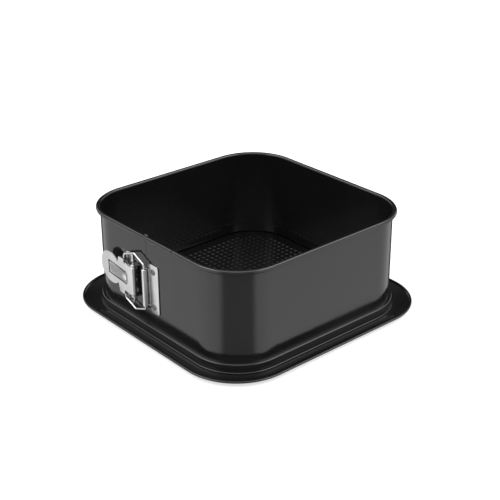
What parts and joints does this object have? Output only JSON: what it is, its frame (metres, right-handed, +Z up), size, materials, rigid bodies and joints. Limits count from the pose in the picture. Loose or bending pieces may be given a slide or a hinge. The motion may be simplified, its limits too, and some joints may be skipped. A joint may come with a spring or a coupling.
{
  "type": "springform pan",
  "caption": "Square springform baking pan with a lift-off wall ring, a raised base with a dished flange and an over-centre wire latch.",
  "frame": {"origin": "on the floor, under the middle of the pan", "axes": "+Z up; the latch is on the wall that faces -X; the hook end of the ring lies towards -Y"},
  "size_m": [0.2348, 0.2348, 0.0914],
  "materials": {
    "coated_steel": "glossy black non-stick coating",
    "plated_steel": "satin plated",
    "wire_steel": "bright drawn wire"
  },
  "bodies": {
    "base": {"base_plate": "coated_steel"},
    "ring_lever_half": {"ring_lever_side": "coated_steel", "lever_bracket": "plated_steel", "bracket_rivets": "plated_steel", "lever_pin": "plated_steel"},
    "ring_hook_half": {"ring_hook_side": "coated_steel", "hook_strip": "plated_steel", "hook_strip_rivets": "plated_steel"},
    "lever": {"clamp_lever": "plated_steel"},
    "link": {"wire_link": "wire_steel"}
  },
  "joints": [
    {"name": "ring_lift", "type": "slide", "parent": "base", "child": "ring_lever_half", "axis": [0, 0, 1], "range_m": [0, 0.1]},
    {"name": "ring_spread", "type": "hinge", "parent": "ring_lever_half", "child": "ring_hook_half", "pos_m": [0.09975, -0.058, 0], "axis": [0, 0, 1], "range_deg": [0, 6.22]},
    {"name": "lever_swing", "type": "hinge", "parent": "ring_lever_half", "child": "lever", "pos_m": [-0.1036, 0.0215, 0], "axis": [0, 0, 1], "range_deg": [0, 150]},
    {"name": "link_swing", "type": "hinge", "parent": "ring_hook_half", "child": "link", "pos_m": [-0.1036, 0.0058, 0], "axis": [0, 0, 1], "range_deg": [-5.62, 0]}
  ],
  "couplings": [
    {"joint": "lever_swing", "follows": "ring_spread", "ratio": 24.134},
    {"joint": "link_swing", "follows": "ring_spread", "ratio": -0.90417}
  ]
}
